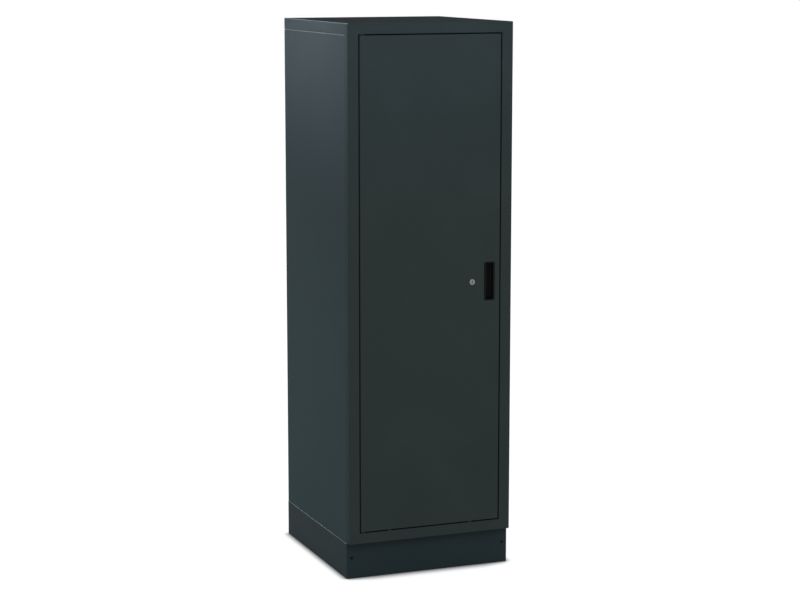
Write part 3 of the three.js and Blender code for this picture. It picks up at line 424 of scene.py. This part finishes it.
def ring_at(bm, y, radius):
    """The edges of a circle round the lock's axis."""
    place = Matrix.Translation((lock_axis.x, y, lock_axis.z)) @ Matrix.Rotation(math.radians(90), 4, "X")
    verts = bmesh.ops.create_circle(bm, segments=RING_STEPS, radius=radius, matrix=place)["verts"]
    return list(dict.fromkeys(e for v in verts for e in v.link_edges))


low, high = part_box("door_pan")
bm = sized_box(low, high)
opening = facing(bm, (0, 1, 0))
bmesh.ops.inset_individual(bm, faces=opening, thickness=DOOR_LIP, use_even_offset=True)
bmesh.ops.delete(bm, geom=opening, context="FACES_ONLY")
cut_window(bm, (0, -1, 0), *PULL_CUTOUT)
rim = cut_window(bm, (0, -1, 0), (lock_axis.x - LOCK_SQUARE, lock_axis.z - LOCK_SQUARE),
                 (lock_axis.x + LOCK_SQUARE, lock_axis.z + LOCK_SQUARE))
bmesh.ops.bridge_loops(bm, edges=rim + ring_at(bm, low.y, LOCK_HOLE_RADIUS))
bmesh.ops.recalc_face_normals(bm, faces=bm.faces)
round_edges(bm, folds(bm), INSIDE_BEND + DOOR_SHEET)
finish_piece("door_skin", bm, (front_paint,), "door", ("door_pan",), DOOR_SHEET)
dress(front_paint, "door_stiffener")


# Hinges: a blackened steel pin in each rail turns in a dark nylon bush in the door's end. Two pads of
# the same nylon on the bottom rail steady the closed door, and break the gap below it.
NYLON_CLOUD = 6 * MM


def moulding(name, dark, light, cloud, roughness, gloss):
    """A dark moulded plastic or rubber with a faint clouding of its surface."""
    material, tree, shader, place = new_material(name)
    bloom = add(tree, "ShaderNodeTexNoise", [("Vector", place, "Object")],
                [("Scale", 1 / cloud), ("Detail", 3.0)])
    tint = add(tree, "ShaderNodeValToRGB", [("Fac", bloom, "Fac")], stops=((0.0, dark), (1.0, light)))
    tree.links.new(tint.outputs["Color"], shader.inputs["Base Color"])
    shader.inputs["Roughness"].default_value = roughness
    shader.inputs["Specular IOR Level"].default_value = gloss
    return material


nylon = moulding("dark_nylon_moulded", "#0d1011", "#15191a", NYLON_CLOUD, 0.48, 0.2)
dress(black_oxide, "hinge_pin_top", "hinge_pin_bottom")
dress(nylon, "hinge_bush_top", "hinge_bush_bottom", "door_pad_left", "door_pad_right")


# Pull: one moulding of black ABS pressed into the door, a flange round a deep pocket whose right wall
# is cut back behind the grip edge for the fingertips. The flange is a paler copy of the black, a painted
# highlight.
FLANGE_WIDTH = 7 * MM
FLANGE_CORNER = 5 * MM
FLANGE_ROUND = 0.8 * MM
MOUTH_LENGTH = 132 * MM
GRIP_DEPTH = 3.5 * MM
GRIP_UNDERCUT = 3 * MM
POCKET_FLOOR = 13.5 * MM
POCKET_ROUND = 9 * MM
POCKET_STEPS = 10
CORNER_STEPS = 6
RIM_STEPS = 3
CUP_WALL = 1.6 * MM
GRAIN_SIZE = 0.5 * MM
GRAIN_HEIGHT = 0.05 * MM


def grained_abs(name, dark, light):
    """Black ABS from a spark-eroded mould, which gives it a fine matt grain."""
    material, tree, shader, place = new_material(name)
    grain = add(tree, "ShaderNodeTexNoise", [("Vector", place, "Object")],
                [("Scale", 1 / GRAIN_SIZE), ("Detail", 2.0)])
    tint = add(tree, "ShaderNodeValToRGB", [("Fac", grain, "Fac")], stops=((0.35, dark), (0.7, light)))
    skin = add(tree, "ShaderNodeBump", [("Height", grain, "Fac")],
               [("Strength", 0.4), ("Distance", GRAIN_HEIGHT)])
    tree.links.new(tint.outputs["Color"], shader.inputs["Base Color"])
    tree.links.new(skin.outputs["Normal"], shader.inputs["Normal"])
    shader.inputs["Roughness"].default_value = 0.5
    shader.inputs["Specular IOR Level"].default_value = 0.045
    return material


black_plastic = grained_abs("black_abs_spark_grain", "#030404", "#080a09")
flange_highlight_plastic = grained_abs("black_abs_painted_flange_highlight", "#090d0b", "#101412")
low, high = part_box("pull_cup")
bm = sized_box(low, (high.x, FRONT - FIT_GAP, high.z))
corners = [e for e in bm.edges if abs(e.verts[0].co.y - e.verts[1].co.y) > FIT_GAP]
mouth = facing(bm, (0, -1, 0))
bmesh.ops.delete(bm, geom=facing(bm, (0, 1, 0)), context="FACES_ONLY")
bmesh.ops.inset_individual(bm, faces=mouth, thickness=FLANGE_WIDTH, use_even_offset=True)
pull_middle = (low.z + high.z) / 2
for vert in mouth[0].verts:
    vert.co.z = pull_middle + math.copysign(MOUTH_LENGTH / 2, vert.co.z - pull_middle)
bmesh.ops.inset_individual(bm, faces=mouth, thickness=0, depth=-GRIP_DEPTH)
bmesh.ops.inset_individual(bm, faces=mouth, thickness=0, depth=0)
mouth_middle = mouth[0].calc_center_median().x
for vert in mouth[0].verts:
    if vert.co.x > mouth_middle:
        vert.co.x += GRIP_UNDERCUT
bmesh.ops.inset_individual(bm, faces=mouth, thickness=0, depth=-POCKET_FLOOR)
long_edges = [e for e in mouth[0].edges if abs(e.verts[0].co.z - e.verts[1].co.z) > MOUTH_LENGTH / 2]
round_edges(bm, long_edges, POCKET_ROUND, POCKET_STEPS)
bmesh.ops.remove_doubles(bm, verts=bm.verts, dist=2 * MERGE_GAP)
bmesh.ops.recalc_face_normals(bm, faces=bm.faces)
round_edges(bm, [e for e in corners if e.is_valid], FLANGE_CORNER, CORNER_STEPS)
rim = [e for e in folds(bm) if all(abs(v.co.y - low.y) < MERGE_GAP for v in e.verts)]
round_edges(bm, rim, FLANGE_ROUND, RIM_STEPS)
# The flange's faces take the paler copy of the black, a painted highlight.
for face in bm.faces:
    if face.calc_center_median().y < low.y + FLANGE_ROUND:
        face.material_index = 1
finish_piece("pull", bm, (black_plastic, flange_highlight_plastic), "door", ("pull_cup",), CUP_WALL)


# Lock: a nickel-plated brass barrel with a raised face, held from behind by a hexagon nut, and in it a
# turning plug with an upright keyway, drawn wide enough to show. The plug's square tail carries a cam
# of zinc-plated steel with two crank pins, which throw the two locking rods.
NICKEL_STREAK = 3 * MM
BORE_RADIUS = 6.4 * MM
BORE_CHAMFER = 0.5 * MM
FACE_RADIUS = 10.5 * MM
BODY_RADIUS = 9 * MM
FACE_ROUND = 0.7 * MM
FACE_SOFTENING = 0.2 * MM
BARREL_STEPS = 48
PLUG_RADIUS = 6 * MM
PLUG_CHAMFER = 0.4 * MM
KEYWAY_WIDTH = 3 * MM
KEYWAY_LENGTH = 8.6 * MM
KEYWAY_DEPTH = 6 * MM
KEYWAY_REACH = 0.51
TAIL_SIDE = 7 * MM
nickel = plated_metal("nickel_plated_brass", "#767b7a", "#8a908e", 0.34, NICKEL_STREAK)
bm = bmesh.new()
profile = [(BORE_RADIUS, lock_low.y + BORE_CHAMFER), (BORE_RADIUS + BORE_CHAMFER, lock_low.y),
           (FACE_RADIUS - FACE_ROUND, lock_low.y),
           (FACE_RADIUS - FACE_SOFTENING, lock_low.y + FACE_SOFTENING),
           (FACE_RADIUS, lock_low.y + FACE_ROUND), (FACE_RADIUS, FRONT - FIT_GAP),
           (BODY_RADIUS, FRONT - FIT_GAP), (BODY_RADIUS, lock_high.y), (BORE_RADIUS, lock_high.y)]
chain = [bm.verts.new((lock_axis.x + radius, y, lock_axis.z)) for radius, y in profile]
outline = [bm.edges.new(pair) for pair in zip(chain, chain[1:] + chain[:1])]
bmesh.ops.spin(bm, geom=chain + outline, cent=lock_axis, axis=(0, 1, 0), angle=2 * math.pi,
               steps=BARREL_STEPS, use_merge=True)
bmesh.ops.remove_doubles(bm, verts=bm.verts, dist=MERGE_GAP)
bmesh.ops.recalc_face_normals(bm, faces=bm.faces)
finish_piece("lock_cylinder", bm, (nickel,), "door", ("lock_barrel",))


def rectangle_at(bm, y, width, height):
    """The edges of an upright rectangle round the lock's axis."""
    corners = [(-width, -height), (width, -height), (width, height), (-width, height)]
    verts = [bm.verts.new((lock_axis.x + x / 2, y, lock_axis.z + z / 2)) for x, z in corners]
    return [bm.edges.new(pair) for pair in zip(verts, verts[1:] + verts[:1])]


plug_low, plug_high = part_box("lock_plug")
bm = bmesh.new()
loops = [rectangle_at(bm, plug_low.y + KEYWAY_DEPTH, KEYWAY_WIDTH, KEYWAY_LENGTH),
         rectangle_at(bm, plug_low.y, KEYWAY_WIDTH, KEYWAY_LENGTH),
         ring_at(bm, plug_low.y, PLUG_RADIUS - PLUG_CHAMFER),
         ring_at(bm, plug_low.y + PLUG_CHAMFER, PLUG_RADIUS),
         ring_at(bm, lock_high.y, PLUG_RADIUS),
         rectangle_at(bm, lock_high.y, TAIL_SIDE, TAIL_SIDE),
         rectangle_at(bm, plug_high.y, TAIL_SIDE, TAIL_SIDE)]
for first, second in zip(loops, loops[1:]):
    bmesh.ops.bridge_loops(bm, edges=first + second)
bmesh.ops.edgeloop_fill(bm, edges=loops[0])
bmesh.ops.edgeloop_fill(bm, edges=loops[-1])
bmesh.ops.recalc_face_normals(bm, faces=bm.faces)
# The keyway's walls and floor take black oxide: painted shade down the narrow slot.
for face in bm.faces:
    middle = face.calc_center_median()
    across = abs(middle.x - lock_axis.x) / KEYWAY_WIDTH
    along = abs(middle.z - lock_axis.z) / KEYWAY_LENGTH
    deep = plug_low.y < middle.y < plug_low.y + KEYWAY_DEPTH + FIT_GAP
    if deep and max(across, along) < KEYWAY_REACH:
        face.material_index = 1
finish_piece("lock_plug_keyed", bm, (nickel, black_oxide), "lock_core", ("lock_plug",))
dress(zinc, "lock_nut", "lock_cam", "cam_screw", "upper_rod", "lower_rod")


# Rod guides and bumpers: black plastic loops hold the rods to the door, and two rubber buttons on the
# stop lip take the door's closing knock.
RUBBER_BLOOM = 4 * MM
rubber = moulding("black_rubber", "#151616", "#202122", RUBBER_BLOOM, 0.8, 0.5)
dress(black_plastic, "rod_guide_top", "rod_guide_bottom")
dress(rubber, "door_bumper_top", "door_bumper_bottom")


# Camera at the photograph's place: 95 mm on a 36 mm sensor, 21.5 degrees round to the left and
# 9.3 degrees down.
YAW = math.radians(21.5336)
PITCH = math.radians(9.2746)
camera_data = bpy.data.cameras.new("camera")
camera_data.sensor_width = 36.0
camera_data.lens = 95.033
camera_data.clip_end = 100.0
camera = bpy.data.objects.new("camera", camera_data)
bpy.context.scene.collection.objects.link(camera)
camera.location = (-2.8506, -7.2664, 2.2327)
sight = Vector((math.sin(YAW) * math.cos(PITCH), math.cos(YAW) * math.cos(PITCH), -math.sin(PITCH)))
camera.rotation_euler = sight.to_track_quat("-Z", "Y").to_euler()
bpy.context.scene.camera = camera
bpy.context.scene.view_settings.view_transform = "Standard"


# Floor and studio light: a white paper floor, glowing to the camera and in reflections so that it stays
# white, and darker close to the plinth for the contact shadow, which is wider before it than beside it.
# Round it is an even white surround, with soft lamps before the upper front, behind and on the left.
FLOOR_REACH = 30.0
FLOOR_GLOW = 0.8
SHADOW_BEFORE = 59 * MM
SHADOW_BESIDE = 29 * MM
SHADOW_BLEND = 100 * MM
bm = bmesh.new()
bmesh.ops.create_grid(bm, x_segments=1, y_segments=1, size=FLOOR_REACH)
mesh = bpy.data.meshes.new("floor")
bm.to_mesh(mesh)
bm.free()
floor = bpy.data.objects.new("floor", mesh)
bpy.context.scene.collection.objects.link(floor)
floor_paper = bpy.data.materials.new("white_floor_paper")
floor_paper.use_nodes = True
tree = floor_paper.node_tree
tree.nodes.clear()
path = add(tree, "ShaderNodeLightPath")
seen = add(tree, "ShaderNodeMath", [(0, path, "Is Camera Ray"), (1, path, "Is Glossy Ray")],
           operation="MAXIMUM")
seen = add(tree, "ShaderNodeMath", [(0, seen, "Value"), (1, path, "Is Transmission Ray")],
           operation="MAXIMUM")
share = add(tree, "ShaderNodeMath", [(0, seen, "Value")], [(1, FLOOR_GLOW)], operation="MULTIPLY")
matt = add(tree, "ShaderNodeBsdfDiffuse", (), [("Color", linear("#ffffff"))])
place = add(tree, "ShaderNodeTexCoord")
axes = add(tree, "ShaderNodeSeparateXYZ", [("Vector", place, "Object")])
sideways = add(tree, "ShaderNodeMath", [(0, axes, "X")], operation="ABSOLUTE")
reach = add(tree, "ShaderNodeMapRange", [("Value", sideways, "Value")],
            [("From Min", RIGHT - SHADOW_BLEND), ("From Max", RIGHT),
             ("To Min", SHADOW_BEFORE), ("To Max", SHADOW_BESIDE)])
contact = add(tree, "ShaderNodeAmbientOcclusion", [("Distance", reach, "Result")], samples=16)
fade = add(tree, "ShaderNodeMapRange", [("Value", contact, "AO")],
           [("From Min", 0.5), ("To Min", 0.0), ("To Max", 1.06)])
glow = add(tree, "ShaderNodeEmission", [("Strength", fade, "Result")], [("Color", linear("#ffffff"))])
both = add(tree, "ShaderNodeMixShader",
           [("Fac", share, "Value"), (1, matt, "BSDF"), (2, glow, "Emission")])
add(tree, "ShaderNodeOutputMaterial", [("Surface", both, "Shader")])
mesh.materials.append(floor_paper)

world = bpy.data.worlds.new("surround")
bpy.context.scene.world = world
world.use_nodes = True
tree = world.node_tree
tree.nodes.clear()
surround = add(tree, "ShaderNodeBackground", (), [("Color", linear("#ffffff")), ("Strength", 1.0)])
add(tree, "ShaderNodeOutputWorld", [("Surface", surround, "Background")])


def soft_light(name, place, aim, size, power, colour, spread=180):
    """A square lamp that lights the scene but isn't seen."""
    data = bpy.data.lights.new(name, "AREA")
    data.shape = "RECTANGLE"
    data.size = size
    data.size_y = size
    data.energy = power
    data.color = linear(colour)[:3]
    data.spread = math.radians(spread)
    lamp = bpy.data.objects.new(name, data)
    bpy.context.scene.collection.objects.link(lamp)
    lamp.location = place
    lamp.rotation_euler = (Vector(aim) - Vector(place)).to_track_quat("-Z", "Y").to_euler()
    lamp.visible_camera = False


soft_light("front_high", (-0.5, -3.2, 3.7), (0, 0, 1.9), 2.0, 65, "#d6e3fa")
soft_light("front_top", (-0.5, -3.4, 2.0), (0, -0.34, 2.0), 0.6, 0.68, "#b4c0ff", spread=22)
soft_light("behind_left", (-1.9, 5.0, 0.8), (-0.3, 0, 1.1), 1.4, 165, "#e9f1f8")
soft_light("side_top", (-3.0, 1.6, 2.2), (-0.3, 0, 2.25), 1.0, 9.3, "#ffe7ec", spread=20)
soft_light("side_low", (-3.0, 1.6, 0.4), (-0.3, 0, 0.3), 1.0, 1.6, "#fff8f4", spread=40)
